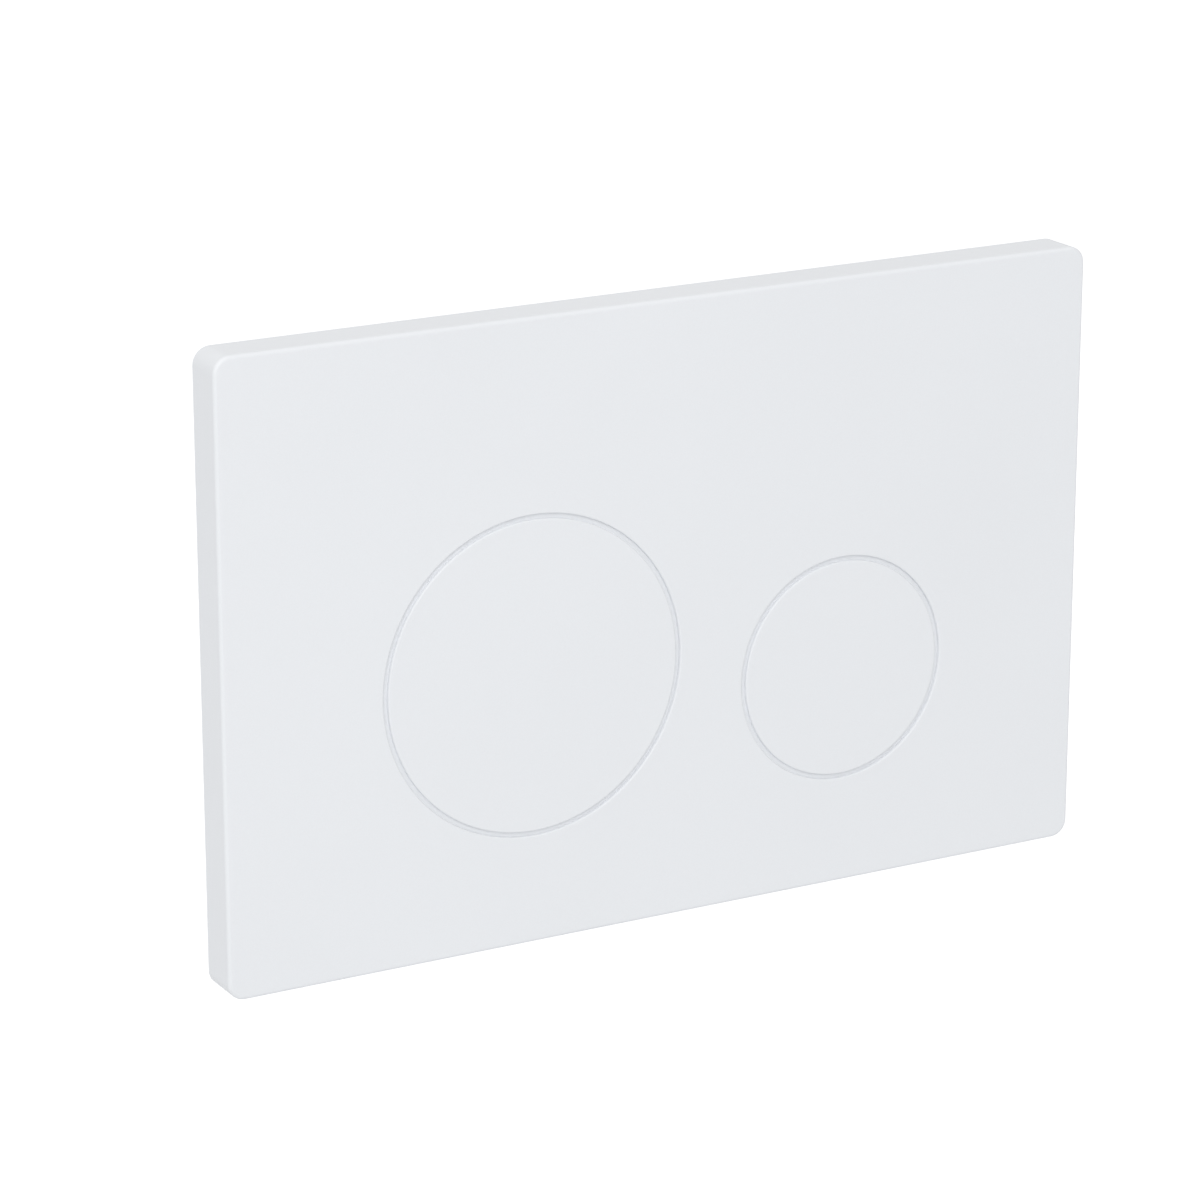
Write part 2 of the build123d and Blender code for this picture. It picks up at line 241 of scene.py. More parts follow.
def combine(piece, other, operation):
    """Join another closed mesh to a piece, or cut it away, and drop it."""
    modifier = piece.modifiers.new(operation.lower(), "BOOLEAN")
    modifier.operation = operation
    modifier.object = other
    modifier.solver = "EXACT"
    modifier.use_self = True
    bpy.context.view_layer.update()
    graph = bpy.context.evaluated_depsgraph_get()
    mesh = bpy.data.meshes.new_from_object(piece.evaluated_get(graph))
    piece.modifiers.clear()
    piece.data = mesh
    bpy.data.objects.remove(other)


# %% [markdown]
# Colours are written as sRGB hex values, the way a colour chart or a photo gives them.
# Blender mixes light in linear values, so one function turns them over.
# Another small function adds a shader node with its settings and links, so that each material
# reads as a list of layers.

# %% Colour and node helpers
def linear(hex_colour):
    """Linear RGBA from an sRGB hex value."""
    parts = [int(hex_colour[start:start + 2], 16) / 255 for start in (1, 3, 5)]
    return [p / 12.92 if p <= 0.04045 else ((p + 0.055) / 1.055) ** 2.4 for p in parts] + [1.0]


def add_node(tree, kind, values=None, links=None, **settings):
    """Add a node, give it settings and socket values, and link its inputs."""
    node = tree.nodes.new(kind)
    for name, value in settings.items():
        setattr(node, name, value)
    for socket, value in (values or {}).items():
        node.inputs[socket].default_value = value
    for socket, source in (links or {}).items():
        tree.links.new(source, node.inputs[socket])
    return node


def new_material(name):
    """Material with an empty node tree."""
    material = bpy.data.materials.new(name)
    material.use_nodes = True
    material.node_tree.nodes.clear()
    return material, material.node_tree


# Sockets of the Mix node when it mixes colours
MIX_FACTOR, MIX_A, MIX_B, MIX_RESULT = 0, 6, 7, 2
# A noise scale counts marks in a metre, and the marks are given in millimetres
PER_METRE = 1000
COVER_WHITE = "#EEF0F3"
print("white of the cover in linear values:", [round(v, 3) for v in linear(COVER_WHITE)])

# %% [markdown]
# The plastics are all injection moulded: ABS for the cover, buttons and tray, polypropylene for
# the frame, acetal for the rods and nylon for the nuts.
# A spark-eroded mould leaves a fine, even grain that breaks up reflections, and the melt leaves
# broad, faint changes of tone.
# The real grain is about 0.1 mm wide, too fine for the render, so it is drawn coarser: hardly
# felt on the satin cover, and up to 1 mm wide on the hidden parts.
# In filled nylon the flow marks shrink to a speckle, which stands for the bundles of short
# fibres near the surface.

# %% Moulded plastics
# Most of the noise lies between these two values
GRAIN_LOW, GRAIN_HIGH = 0.3, 0.7
GRAIN_GLOSS = 0.06


def moulded_plastic(name, pale, deep, roughness, ior, grain, grain_depth, hollow_shade, flow=60.0):
    """Plastic with a flow-mark tone between two colours and a moulded grain.

    The widths of flow marks and grain and the depth of the grain are in mm.
    The colour is darker by a share where the grain's bump is low, as painted shade in its low
    spots.
    """
    material, tree = new_material(name)
    place = add_node(tree, "ShaderNodeTexCoord").outputs["Object"]
    flow_marks = add_node(
        tree, "ShaderNodeTexNoise", {"Scale": PER_METRE / flow, "Detail": 2.0}, {"Vector": place},
    )
    tone = add_node(
        tree, "ShaderNodeMix", {MIX_A: linear(pale), MIX_B: linear(deep)},
        {MIX_FACTOR: flow_marks.outputs["Fac"]}, data_type="RGBA",
    )
    grit = add_node(
        tree, "ShaderNodeTexNoise", {"Scale": PER_METRE / grain, "Detail": 1.0}, {"Vector": place},
    )
    # Painted shade: the colour is darkened where the grain's bump is low
    shadow = add_node(
        tree, "ShaderNodeMapRange",
        {"From Min": GRAIN_LOW, "From Max": GRAIN_HIGH, "To Min": 1 - hollow_shade, "To Max": 1.0},
        {"Value": grit.outputs["Fac"]},
    )
    colour = add_node(
        tree, "ShaderNodeMix", {MIX_FACTOR: 1.0},
        {MIX_A: tone.outputs[MIX_RESULT], MIX_B: shadow.outputs["Result"]},
        data_type="RGBA", blend_type="MULTIPLY",
    )
    gloss = add_node(
        tree, "ShaderNodeMapRange",
        {"To Min": roughness - GRAIN_GLOSS, "To Max": roughness + GRAIN_GLOSS},
        {"Value": grit.outputs["Fac"]},
    )
    relief = add_node(
        tree, "ShaderNodeBump", {"Strength": 1.0, "Distance": grain_depth * MM},
        {"Height": grit.outputs["Fac"]},
    )
    surface = add_node(
        tree, "ShaderNodeBsdfPrincipled", {"IOR": ior},
        {
            "Base Color": colour.outputs[MIX_RESULT],
            "Roughness": gloss.outputs["Result"],
            "Normal": relief.outputs["Normal"],
        },
    )
    add_node(tree, "ShaderNodeOutputMaterial", links={"Surface": surface.outputs["BSDF"]})
    print(f"{name}: grain {grain} mm wide")
    return material


# White ABS with a satin grain looks even and soft, with no hard reflection.
white_abs = moulded_plastic(
    "satin_moulded_white_abs", COVER_WHITE, "#EBEDF0",
    roughness=0.48, ior=1.54, grain=0.35, grain_depth=0.002, hollow_shade=0.015,
)
# Slate ABS is the plain dark grade for a hidden tray, with a coarser grain and a cool, dull look.
slate_abs = moulded_plastic(
    "moulded_slate_abs", "#78889A", "#697A8D",
    roughness=0.50, ior=1.54, grain=0.9, grain_depth=0.016, hollow_shade=0.16,
)
# Grey polypropylene is waxy: a broad, low sheen and a slightly uneven tone.
grey_polypropylene = moulded_plastic(
    "moulded_grey_polypropylene", "#A9AFB4", "#969DA3",
    roughness=0.44, ior=1.49, grain=1.0, grain_depth=0.022, hollow_shade=0.14,
)
# Natural acetal is a creamy white with a slippery gloss.
natural_acetal = moulded_plastic(
    "moulded_natural_acetal", "#EDEAE1", "#E2DED2",
    roughness=0.34, ior=1.48, grain=0.8, grain_depth=0.008, hollow_shade=0.06, flow=25.0,
)
# Filled nylon is nearly black and shows its fibres as a fine, dull speckle, with strong painted
# shade in the low spots of its grain.
filled_nylon = moulded_plastic(
    "moulded_filled_nylon", "#434A51", "#292F35",
    roughness=0.55, ior=1.53, grain=0.6, grain_depth=0.016, hollow_shade=0.30, flow=3.0,
)
# Rubber for the buffers scatters light and has almost no gloss.
buffer_rubber = moulded_plastic(
    "moulded_rubber", "#2B2B2C", "#1F1F20",
    roughness=0.80, ior=1.52, grain=0.7, grain_depth=0.020, hollow_shade=0.25, flow=8.0,
)

# %% [markdown]
# The metals are stainless steel wire and sheet, and zinc-plated steel.
# Drawing and rolling leave fine lines along the work, so the roughness can change quickly
# across the lines and slowly along them.
# Zinc plating has no lines but a faint blue and a cloudy change of gloss.
# All three keep the default IOR and are fully metallic, so their look comes from colour and
# roughness alone.

# %% Metals
def worked_metal(name, bright, dull, roughness, spread, line_width, line_length, relief_depth):
    """Metal whose tone and gloss change in marks of a width and a length in mm.

    The width runs along X and Z and the length along Y.
    """
    material, tree = new_material(name)
    place = add_node(tree, "ShaderNodeTexCoord").outputs["Object"]
    across, along = PER_METRE / line_width, PER_METRE / line_length
    stretch = add_node(
        tree, "ShaderNodeMapping", {"Scale": (across, along, across)}, {"Vector": place},
    )
    marks = add_node(
        tree, "ShaderNodeTexNoise", {"Scale": 1.0, "Detail": 3.0},
        {"Vector": stretch.outputs["Vector"]},
    )
    tone = add_node(
        tree, "ShaderNodeMix", {MIX_A: linear(bright), MIX_B: linear(dull)},
        {MIX_FACTOR: marks.outputs["Fac"]}, data_type="RGBA",
    )
    gloss = add_node(
        tree, "ShaderNodeMapRange",
        {"To Min": roughness - spread, "To Max": roughness + spread},
        {"Value": marks.outputs["Fac"]},
    )
    relief = add_node(
        tree, "ShaderNodeBump", {"Strength": 1.0, "Distance": relief_depth * MM},
        {"Height": marks.outputs["Fac"]},
    )
    surface = add_node(
        tree, "ShaderNodeBsdfPrincipled", {"Metallic": 1.0},
        {
            "Base Color": tone.outputs[MIX_RESULT],
            "Roughness": gloss.outputs["Result"],
            "Normal": relief.outputs["Normal"],
        },
    )
    add_node(tree, "ShaderNodeOutputMaterial", links={"Surface": surface.outputs["BSDF"]})
    print(f"{name}: marks {line_width} x {line_length} mm")
    return material


# Drawn stainless wire is bright, with a soft streak of light round each turn.
drawn_stainless = worked_metal(
    "drawn_stainless_wire", "#D2D0CB", "#A9A7A2",
    roughness=0.26, spread=0.08, line_width=0.4, line_length=0.4, relief_depth=0.003,
)
# Stamped stainless sheet is a little duller, with rolling lines.
rolled_stainless = worked_metal(
    "rolled_stainless_sheet", "#CBCAC6", "#A2A19D",
    roughness=0.34, spread=0.10, line_width=0.25, line_length=6.0, relief_depth=0.003,
)
# Zinc plating is pale, cool and slightly cloudy.
zinc_plating = worked_metal(
    "zinc_plated_steel", "#CDD2D7", "#AEB5BC",
    roughness=0.38, spread=0.10, line_width=1.6, line_length=1.6, relief_depth=0.004,
)

# %% [markdown]
# The cover is one moulding: a flat face with a small round along its edge, four thin walls and
# two round openings.
# A cube with bevels would do for the outside, but its corners, openings and hollow back would
# each need repair.
# Here the shell is drawn in strips, first up the outer wall, over the edge round and on to the
# face, and then round the rim and up the hollow inside.
# A narrow flat strip beside every round keeps the large face's shading perfectly even.

# %% Walls of the cover
corner_radius = 4.5
edge_round = 1.0
flat_strip = 0.5
face_thickness = 2.4
rim_thickness = 2.4
inner_corner_radius = 2.0
face_back = plate_depth - face_thickness
inner_width = plate_width - 2 * rim_thickness
inner_height = plate_height - 2 * rim_thickness


def outer_loop(bm, inset, height):
    """Loop of the cover's outside, drawn in from it by an inset."""
    width, length = plate_width - 2 * inset, plate_height - 2 * inset
    return add_loop(bm, rounded_outline(width, length, corner_radius - inset), height)


bm = bmesh.new()
back_outer = outer_loop(bm, 0, 0)
edge_loops = [
    outer_loop(bm, inset, plate_depth - drop)
    for inset, drop in reversed(quarter_round(edge_round))
]
face_outer = outer_loop(bm, edge_round + flat_strip, plate_depth)
join_loops(bm, [back_outer] + edge_loops + [face_outer])

inner_outline = rounded_outline(inner_width, inner_height, inner_corner_radius)
back_inner = add_loop(bm, inner_outline, 0)
hollow_edge = add_loop(bm, inner_outline, face_back)
join_loops(bm, [back_outer, back_inner, hollow_edge])
print("walls of the cover:", len(bm.faces), "faces")

# %% [markdown]
# Each opening has a small round of its own, which catches the light like a thin ring.
# Behind the buttons the face is thinned to a lip, so that each button's shoulder stops close
# behind it and closes the groove.
# The openings could be cut out with Booleans, but loops with the same count all the way down
# leave no slivers beside the round.

# %% Openings and lip of the cover
opening_round = 0.45
opening_steps = 256
shoulder_reach = 1.0
lip_thickness = 0.9
field_margin = 1.0
lip_back = plate_depth - lip_thickness

button_bodies = {}
for name in ("full_flush", "half_flush"):
    low, high = box_mm(f"{name}_button")
    button_bodies[name] = (middle_mm(f"{name}_button"), (high.x - low.x) / 2)


def circle_loop(bm, centre, radius, height):
    """Loop of a circle as fine as the openings and buttons need."""
    return add_loop(bm, circle_outline(centre, radius, opening_steps), height)


front_holes = []
lip_holes = []
for centre, body in button_bodies.values():
    opening = body - shoulder_reach
    face_hole = circle_loop(bm, centre, opening + opening_round + flat_strip, plate_depth)
    round_loops = [
        circle_loop(bm, centre, opening + inset, plate_depth - drop)
        for inset, drop in quarter_round(opening_round)
    ]
    lip_hole = circle_loop(bm, centre, opening, lip_back)
    join_loops(bm, [face_hole] + round_loops + [lip_hole])
    front_holes.append(face_hole)
    lip_holes.append(lip_hole)
fill_flat(bm, [face_outer] + front_holes)

# The thinned field is a rectangle round both buttons
bodies = button_bodies.values()
field_left = min(centre[0] - body for centre, body in bodies) - field_margin
field_right = max(centre[0] + body for centre, body in bodies) + field_margin
field_bottom = min(centre[1] - body for centre, body in bodies) - field_margin
field_top = max(centre[1] + body for centre, body in bodies) + field_margin
field = [
    (field_left, field_bottom), (field_right, field_bottom),
    (field_right, field_top), (field_left, field_top),
]
field_edge = add_loop(bm, field, face_back)
field_floor = add_loop(bm, field, lip_back)
join_loops(bm, [field_edge, field_floor])
fill_flat(bm, [hollow_edge, field_edge])
fill_flat(bm, [field_floor] + lip_holes)
cover = mesh_piece(bm, "moulded_cover")
print("shell of the cover:", len(cover.data.polygons), "faces")

# %% [markdown]
# The back of a moulded cover is ribbed, because a thin flat face would warp as it cools.
# The ribs stop short of the buttons and of the wing nuts, which need room behind the face.
# They are drawn as simple prisms that sink a little into the face and walls, and Booleans cut
# them free and join them to the shell, as one moulding.

# %% Ribs of the cover
rib_thickness = 1.4
rib_height = 2.4
rib_columns = 4
rib_rows = 3
sink = 0.6
nut_relief = 12.5
nut_relief_steps = 64
shoulder_clearance = 0.4
cutter_overhang = 1.0
CORNER_SIGNS = ((-1, -1), (1, -1), (1, 1), (-1, 1))


def add_prism(bm, outline, low, high):
    """Closed prism: an outline in X and Z drawn from one height to another."""
    close_tube(bm, [add_loop(bm, outline, height) for height in (low, high)])


def rectangle(centre, width, height):
    """Corners of a rectangle in X and Z."""
    return [(centre[0] + sx * width / 2, centre[1] + sz * height / 2) for sx, sz in CORNER_SIGNS]


rib_end = face_back - rib_height
rib_root = lip_back + sink
bm = bmesh.new()
for column in range(rib_columns):
    x = (column - (rib_columns - 1) / 2) * inner_width / (rib_columns + 1)
    add_prism(bm, rectangle((x, 0), rib_thickness, inner_height + 2 * sink), rib_end, rib_root)
for row in range(rib_rows):
    z = (row - (rib_rows - 1) / 2) * inner_height / (rib_rows + 1)
    add_prism(bm, rectangle((0, z), inner_width + 2 * sink, rib_thickness), rib_end, rib_root)
ribs = mesh_piece(bm, "cover_ribs")

cutter_outlines = [
    circle_outline(centre, body + shoulder_clearance, opening_steps)
    for centre, body in button_bodies.values()
]
cutter_outlines += [
    circle_outline(middle_mm(f"{side}_wing_nut"), nut_relief, nut_relief_steps)
    for side in ("left", "right")
]
bm = bmesh.new()
for outline in cutter_outlines:
    add_prism(bm, outline, rib_end - cutter_overhang, plate_depth)
combine(ribs, mesh_piece(bm, "rib_cutters"), "DIFFERENCE")
combine(cover, ribs, "UNION")
print("cover with ribs:", len(cover.data.polygons), "faces")

# %% [markdown]
# Snap hooks stand up from the back of the cover: the outer ones grip the edge of the frame and
# the inner ones hold the tray.
# Each is a flat arm with a barb, so its side view is drawn once and given the hook's width.
# They could be pieces of their own, but a real cover is moulded with them, so they are joined.

# %% Snap hooks of the cover
hook_width = 12.0
hook_thickness = 1.8
hook_barb = 1.6
hook_barb_height = 1.0
hook_clearance = 0.3
frame_hook_tip = 0.6
frame_hook_place = 75.0
tray_hook_tip = 4.0
tray_hook_spacing = 55.0

frame_top = box_mm("mounting_frame")[1].z
tray_low, tray_high = box_mm("button_housing")
tray_x, tray_z = middle_mm("button_housing")
tray_places = (tray_x - tray_hook_spacing, tray_x, tray_x + tray_hook_spacing)
hook_rows = (
    (0, frame_top, frame_hook_tip, (-frame_hook_place, frame_hook_place)),
    (tray_z, (tray_high.z - tray_low.z) / 2, tray_hook_tip, tray_places),
)
bm = bmesh.new()
for centre_z, half_height, tip, places in hook_rows:
    inner = half_height + hook_clearance
    for edge in (-1, 1):
        profile = (
            (inner, face_back + sink),
            (inner, tip + hook_barb_height),
            (inner - hook_barb, tip + hook_barb_height),
            (inner, tip),
            (inner + hook_thickness, tip),
            (inner + hook_thickness, face_back + sink),
        )
        side_view = [(centre_z + edge * reach, height) for reach, height in profile]
        for x in places:
            ends = (x - hook_width / 2, x + hook_width / 2)
            close_tube(bm, [[add_point(bm, end, z, h) for z, h in side_view] for end in ends])
combine(cover, mesh_piece(bm, "cover_hooks"), "UNION")
shade(cover, white_abs)
stand_for(cover, "face_plate")

# %% [markdown]
# Each button is a shallow cup whose crown lies level with the cover, on a wider body with a
# shoulder.
# The shoulder rests just behind the cover's lip, so the spring can't push the button out, and
# it is the white floor of the groove.
# A cylinder with bevels would come close, but here the cup is turned from circles like work on
# a lathe, which gives the same rounds as on the cover.

# %% Turned cup of a button
button_gap = 1.2
lip_clearance = 0.05
skirt_end = 2.0
skirt_thickness = 1.8
cap_back = 9.6


def turned_cup(bm, centre, body):
    """Crown, shoulder and skirt of a button, with a round along the rim of its face."""
    crown = body - shoulder_reach - button_gap
    inside = body - skirt_thickness
    shoulder_front = lip_back - lip_clearance
    profile = [(crown - opening_round - flat_strip, plate_depth)]
    profile += [(crown - inset, plate_depth - drop) for inset, drop in quarter_round(opening_round)]
    profile += [(crown, shoulder_front), (body, shoulder_front)]
    profile += [(body, skirt_end), (inside, skirt_end), (inside, cap_back)]
    close_tube(bm, [circle_loop(bm, centre, reach, height) for reach, height in profile])
    print(f"crown {2 * crown:.1f} mm, body {2 * body:.1f} mm")


# %% [markdown]
# Behind the cap a boss takes the spring, six ribs stiffen the cap, and a square stem runs
# through the tray to the push rod.
# Two notches near the stem's end hold a flat clip that keeps the button in the tray.
# All of these are prisms that sink into each other, and a Boolean makes them one moulding with
# the cup.

# %% Buttons
boss_back = 7.6
boss_apothem = 12.261
boss_sides = 6
stem_width = 11.0
stem_end = -13.5
notch_top = -10.15
notch_bottom = -11.25
notch_depth = 1.4


def polygon(centre, apothem, sides):
    """Corners of a regular polygon with flats at a distance, the first corner towards +X."""
    return circle_outline(centre, apothem / cos(pi / sides), sides)


def cap_rib(centre, reach, angle):
    """Corners of a straight rib across the cap at an angle, from wall to wall."""
    along = Vector((cos(angle), sin(angle)))
    across = Vector((-sin(angle), cos(angle))) * rib_thickness / 2
    middle = Vector(centre)
    return [tuple(middle + along * reach * s + across * t) for s, t in CORNER_SIGNS]


for name, (centre, body) in button_bodies.items():
    bm = bmesh.new()
    turned_cup(bm, centre, body)
    button = mesh_piece(bm, f"{name}_moulded_button")

    cap_root = cap_back + sink
    stem = rectangle(centre, stem_width, stem_width)
    notched_stem = rectangle(centre, stem_width - 2 * notch_depth, stem_width)
    bm = bmesh.new()
    add_prism(bm, polygon(centre, boss_apothem, boss_sides), boss_back, cap_root)
    for turn in range(boss_sides // 2):
        rib = cap_rib(centre, body - skirt_thickness / 2, 2 * pi / boss_sides * turn)
        add_prism(bm, rib, boss_back, cap_root)
    add_prism(bm, stem, notch_top, cap_root)
    add_prism(bm, notched_stem, notch_bottom - sink, notch_top + sink)
    add_prism(bm, stem, stem_end, notch_bottom)
    combine(button, mesh_piece(bm, f"{name}_stem"), "UNION")
    shade(button, white_abs)
    stand_for(button, f"{name}_button")

# %% [markdown]
# A return spring is one length of round wire, coiled with closed ends that lie flat on the tray
# and under the cap.
# A curve with a round bevel would do, but here the wire is drawn as a mesh, and each spring gets
# mesh data of its own.
# So a ring of points is carried along the helix, and the pitch drops to nothing over the end
# turns.

# %% Return springs
wire_radius = 0.7
coil_radius = 10.861
coil_turns = 4.7
dead_turns = 0.6
coil_steps = 40
wire_steps = 14
coil_crease = 50
end_gap = 0.05
tray_floor = -8.0
coil_start = tray_floor + end_gap + wire_radius
coil_rise = boss_back - end_gap - wire_radius - coil_start


def coil_height(turn):
    """Height of the wire's middle after some turns, flat over the dead turns at both ends."""
    active = (turn - dead_turns) / (coil_turns - 2 * dead_turns)
    return coil_start + coil_rise * min(1.0, max(0.0, active))


def wire_ring(bm, centre, turn):
    """Ring of points round the wire after some turns of the coil."""
    ring = []
    for point in range(wire_steps):
        around = 2 * pi * point / wire_steps
        x, z = polar(centre, coil_radius + wire_radius * cos(around), 2 * pi * turn)
        ring.append(add_point(bm, x, z, coil_height(turn) + wire_radius * sin(around)))
    return ring


for name, (centre, _) in button_bodies.items():
    bm = bmesh.new()
    steps = range(int(coil_turns * coil_steps) + 1)
    close_tube(bm, [wire_ring(bm, centre, step / coil_steps) for step in steps])
    spring = mesh_piece(bm, f"{name}_coil_spring")
    shade(spring, drawn_stainless, coil_crease)
    stand_for(spring, f"{name}_spring")
    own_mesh(spring)

# %% [markdown]
# The push rods and bolts carry screw threads, so that the caps and nuts can be set to the depth
# of the wall.
# A Screw modifier could wind a tooth round an axis, but its ends would stay open.
# Here rings are stacked along the shaft, and each ring's radius follows the thread as it winds
# round, which closes cleanly at both ends.

# %% Threaded shafts
thread_steps = 36
rings_per_pitch = 8
thread_crease = 60
chamfer_share = 1.5


def thread_depth(phase):
    """Depth of a trapezoid thread as a share, over one pitch: crest, flank, root, flank."""
    crest, flank = 0.22, 0.28
    if phase < crest:
        return 0.0
    if phase < crest + flank:
        return (phase - crest) / flank
    if phase < 2 * crest + flank:
        return 1.0
    return (1 - phase) / flank


def thread_loops(
    bm, centre, front, back, radius, pitch, depth, open_front=False, open_back=False,
):
    """Rings of a threaded shaft from a front to a back height, with chamfered free ends."""
    length = front - back
    count = int(length / pitch * rings_per_pitch)
    chamfer = radius - chamfer_share * depth
    loops = []
    for step in range(count + 1):
        along = length * step / count
        outline = []
        for point in range(thread_steps):
            share = point / thread_steps
            reach = radius - depth * thread_depth((along / pitch + share) % 1.0)
            if not open_front:
                reach = min(reach, chamfer + along)
            if not open_back:
                reach = min(reach, chamfer + length - along)
            outline.append(polar(centre, reach, 2 * pi * share))
        loops.append(add_loop(bm, outline, front - along))
    return loops


rod_thread = {"radius": 4.0, "pitch": 2.0, "depth": 0.5}
for name, (centre, _) in button_bodies.items():
    low, high = box_mm(f"{name}_push_rod")
    bm = bmesh.new()
    close_tube(bm, thread_loops(bm, centre, -low.y, -high.y, **rod_thread))
    rod = mesh_piece(bm, f"{name}_threaded_rod")
    shade(rod, natural_acetal, thread_crease)
    stand_for(rod, f"{name}_push_rod")

# %% [markdown]
# A distance bolt screws into the cistern with its thick end, and its hexagon is the stop that
# the frame rests on.
# The wing nut then clamps the frame from the front.
# Shafts and hexagon are drawn as one closed mesh: each flat end of the hexagon is filled
# between its outline and the shaft's nearest ring.

# %% Distance bolts
collar_front = 0.3
collar_length = 8.0
collar_flats = 13.0
collar_sides = 6
collar_bevel = 0.5
collar_back = collar_front - collar_length
collar_profile = (
    (collar_bevel, collar_front),
    (0, collar_front - collar_bevel),
    (0, collar_back + collar_bevel),
    (collar_bevel, collar_back),
)
front_thread = {"radius": 3.0, "pitch": 1.0, "depth": 0.6}
rear_thread = {"radius": 4.0, "pitch": 1.25, "depth": 0.7}

for side in ("left", "right"):
    centre = middle_mm(f"{side}_distance_bolt")
    low, high = box_mm(f"{side}_distance_bolt")
    bm = bmesh.new()
    front = thread_loops(bm, centre, -low.y, collar_front, **front_thread, open_back=True)
    rear = thread_loops(bm, centre, collar_back, -high.y, **rear_thread, open_front=True)
    hexagon = [
        add_loop(bm, polygon(centre, collar_flats / 2 - inset, collar_sides), height)
        for inset, height in collar_profile
    ]
    for loops in (front, rear, hexagon):
        join_loops(bm, loops)
    fill_flat(bm, [hexagon[0], front[-1]])
    fill_flat(bm, [hexagon[-1], rear[0]])
    bm.faces.new(front[0])
    bm.faces.new(rear[-1])
    bolt = mesh_piece(bm, f"{side}_threaded_bolt")
    shade(bolt, zinc_plating, thread_crease)
    stand_for(bolt, f"{side}_distance_bolt")

# %% [markdown]
# The other pieces have the right form in the solids already, so they stay and are only
# softened.
# Moulds and presses never leave a razor edge: a small bevel catches the light along each edge.
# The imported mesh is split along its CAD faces, so Weld joins it, a planar Decimate clears the
# flat faces, and then Bevel can run cleanly.

# %% Soft edges on the solids that stay
weld_reach = 0.002
flat_angle = 1
bevel_angle = 35


def soften(node, material, width, segments=2):
    """Bevel a CAD node's edges by a width in mm and give it a finish."""
    piece = nodes[node]
    weld = piece.modifiers.new("join_faces", "WELD")
    weld.merge_threshold = weld_reach * MM
    flatten = piece.modifiers.new("clear_flats", "DECIMATE")
    flatten.decimate_type = "DISSOLVE"
    flatten.angle_limit = radians(flat_angle)
    bevel = piece.modifiers.new("soft_edges", "BEVEL")
    bevel.width = width * MM
    bevel.segments = segments
    bevel.limit_method = "ANGLE"
    bevel.angle_limit = radians(bevel_angle)
    even_normals(piece)
    coat(piece, material)
    print(f"{node}: edges softened by {width} mm")


soften("button_housing", slate_abs, 0.3)
soften("mounting_frame", grey_polypropylene, 0.3)
for side in ("left", "right"):
    soften(f"{side}_wing_nut", filled_nylon, 0.5, segments=3)
for name in button_bodies:
    soften(f"{name}_rod_cap", filled_nylon, 0.5, segments=3)
    soften(f"{name}_lock_nut", filled_nylon, 0.4, segments=3)
    soften(f"{name}_stem_clip", rolled_stainless, 0.2)
    soften(f"{name}_buffers", buffer_rubber, 0.7, segments=3)

# %% [markdown]
# The photo was taken from the left and a little above, with a long lens.
# Its angles, distance and focal length come from fitting the corners of the cover and both
# openings to the picture.
# The camera is placed with them, so the render lines up with the photo.

# %% Camera
view_azimuth = -29.096
view_elevation = 17.074
view_distance = 1.13714
view_target = Vector((-0.013389, 0.0, 0.002258))
sensor_width = 36.0
focal_length = 135.984


def aim(thing, target, azimuth, elevation, distance):
    """Place a camera or lamp by angles in degrees from straight in front, facing its target."""
    turn, tilt = radians(azimuth), radians(elevation)
    towards = Vector((sin(turn) * cos(tilt), -cos(turn) * cos(tilt), sin(tilt)))
    thing.location = target + towards * distance
    thing.rotation_mode = "QUATERNION"
    thing.rotation_quaternion = (-towards).to_track_quat("-Z", "Y")
    scene.collection.objects.link(thing)


camera_data = bpy.data.cameras.new("long_lens")
camera_data.sensor_width = sensor_width
camera_data.lens = focal_length
camera = bpy.data.objects.new("photo_camera", camera_data)
aim(camera, view_target, view_azimuth, view_elevation, view_distance)
scene.camera = camera
print("camera at", [round(v, 3) for v in camera.location])

# %% [markdown]
# The photo has an even, white surround.
# The floor lies well below the plate, as it would below a wall, and is matt white.
# More light would make it white in the picture, but would also bleach the plate.
# So it is topped up to white only where a camera, gloss or glass sees it, and it still takes a
# shadow.

# %% Floor
floor_height = -0.30
floor_width = 12.0
floor_lift = 0.55
floor_mesh = bpy.data.meshes.new("pale_floor")
floor_corners = [(x, y, floor_height) for x, y in rectangle((0, 0), floor_width, floor_width)]
floor_mesh.from_pydata(floor_corners, [], [(0, 1, 2, 3)])
floor = bpy.data.objects.new("pale_floor", floor_mesh)
scene.collection.objects.link(floor)


def seen_directly(tree):
    """Output that is 1 for rays from camera, gloss and glass, and 0 for diffuse light."""
    path = add_node(tree, "ShaderNodeLightPath")
    mirror = add_node(
        tree, "ShaderNodeMath", None,
        {0: path.outputs["Is Camera Ray"], 1: path.outputs["Is Glossy Ray"]}, operation="MAXIMUM",
    )
    glass = add_node(
        tree, "ShaderNodeMath", None,
        {0: mirror.outputs["Value"], 1: path.outputs["Is Transmission Ray"]}, operation="MAXIMUM",
    )
    return glass.outputs["Value"]


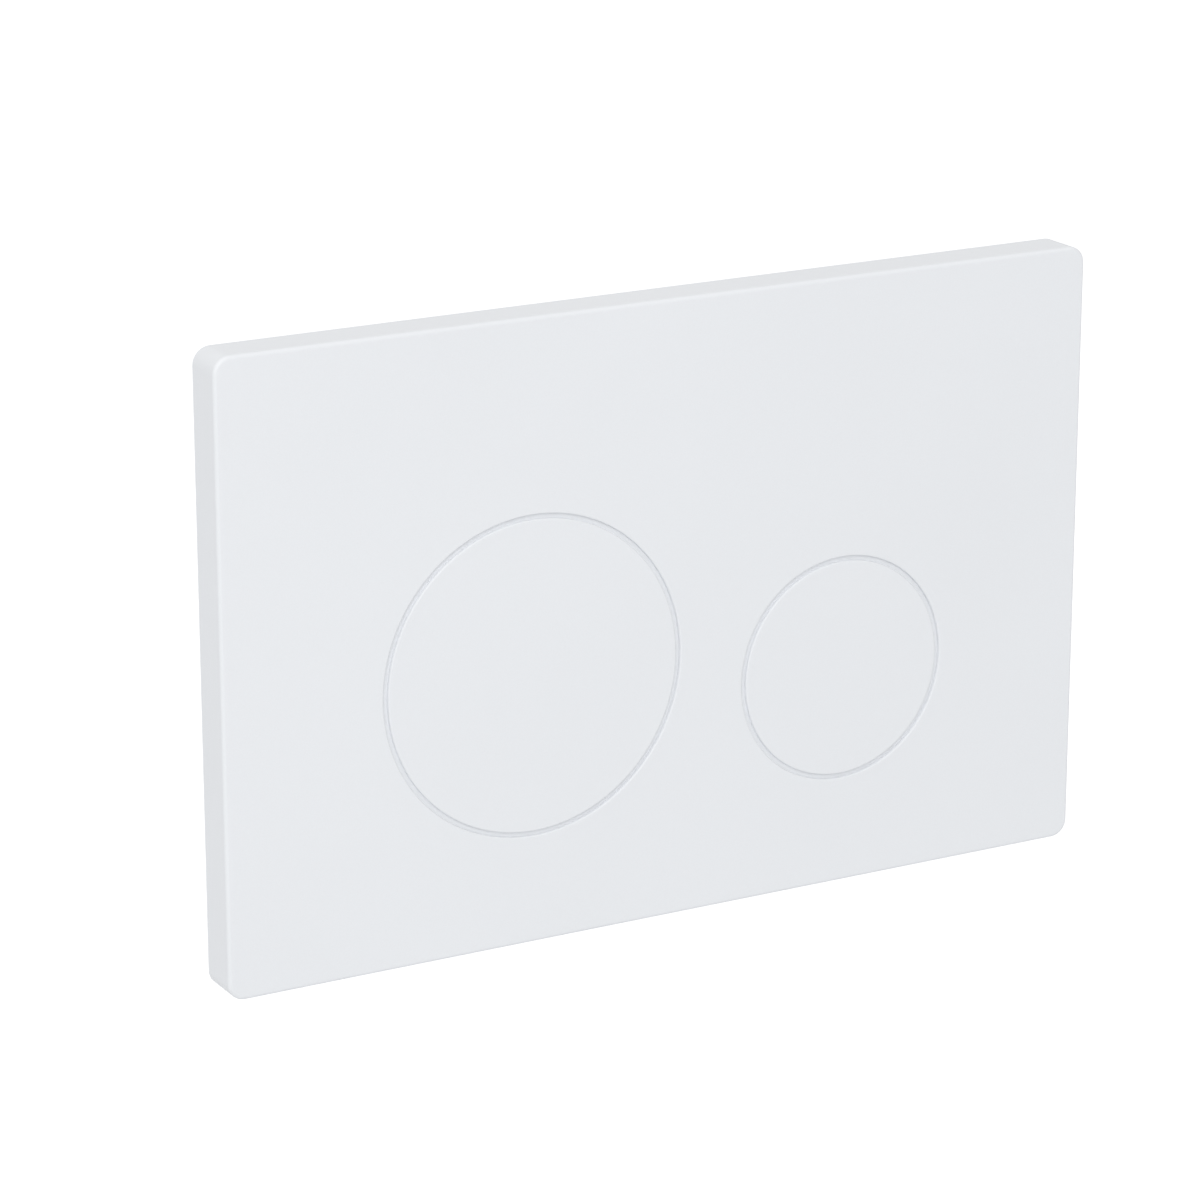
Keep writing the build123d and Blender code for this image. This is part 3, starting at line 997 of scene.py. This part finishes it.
# Matt white paint scatters light evenly and has no gloss.
floor_finish, tree = new_material("matt_white_floor")
lift = add_node(
    tree, "ShaderNodeMath", {1: floor_lift}, {0: seen_directly(tree)}, operation="MULTIPLY",
)
paint = add_node(tree, "ShaderNodeBsdfDiffuse", {"Color": linear("#E2E3E4")})
glow = add_node(tree, "ShaderNodeEmission", None, {"Strength": lift.outputs["Value"]})
both = add_node(
    tree, "ShaderNodeAddShader", None, {0: paint.outputs["BSDF"], 1: glow.outputs["Emission"]},
)
add_node(tree, "ShaderNodeOutputMaterial", links={"Surface": both.outputs["Shader"]})
floor_mesh.materials.append(floor_finish)
print(f"floor {floor_width} m wide, {-floor_height} m below the middle of the plate")

# %% [markdown]
# A bright world gives most of the light, a little more from the ceiling than from the walls.
# It is pure white where it is seen directly, as in the photo.
# A picture of a room could light the plate too, but it would show in the gloss.

# %% World
wall_light = 0.81
ceiling_light = 0.965
world = bpy.data.worlds.new("white_surround")
world.use_nodes = True
scene.world = world
tree = world.node_tree
tree.nodes.clear()
direction = add_node(tree, "ShaderNodeTexCoord").outputs["Generated"]
upward = add_node(tree, "ShaderNodeSeparateXYZ", None, {"Vector": direction}).outputs["Z"]
room_light = add_node(
    tree, "ShaderNodeMapRange", {"To Min": wall_light, "To Max": ceiling_light}, {"Value": upward},
)
strength = add_node(
    tree, "ShaderNodeMapRange", {"To Max": 1.0},
    {"Value": seen_directly(tree), "To Min": room_light.outputs["Result"]},
)
sky = add_node(tree, "ShaderNodeBackground", None, {"Strength": strength.outputs["Result"]})
add_node(tree, "ShaderNodeOutputWorld", links={"Surface": sky.outputs["Background"]})
print("light from the walls", wall_light, "and from the ceiling", ceiling_light)

# %% [markdown]
# One soft light stands in front of the plate, to the left and above.
# It is a large area lamp, like a studio's soft box, and adds the gentle fall of light from left
# to right.
# A small lamp or a sun would give the groove hard shadows that the photo doesn't have.

# %% Lamp
lamp_azimuth = -32
lamp_elevation = 35
lamp_distance = 2.5
lamp_size = 1.3
lamp_power = 22.0
lamp_data = bpy.data.lights.new("soft_box", "AREA")
lamp_data.size = lamp_size
lamp_data.energy = lamp_power
lamp = bpy.data.objects.new("soft_box", lamp_data)
aim(lamp, Vector((0, 0, 0)), lamp_azimuth, lamp_elevation, lamp_distance)
scene.view_settings.view_transform = "Standard"
print("lamp at", [round(v, 2) for v in lamp.location])
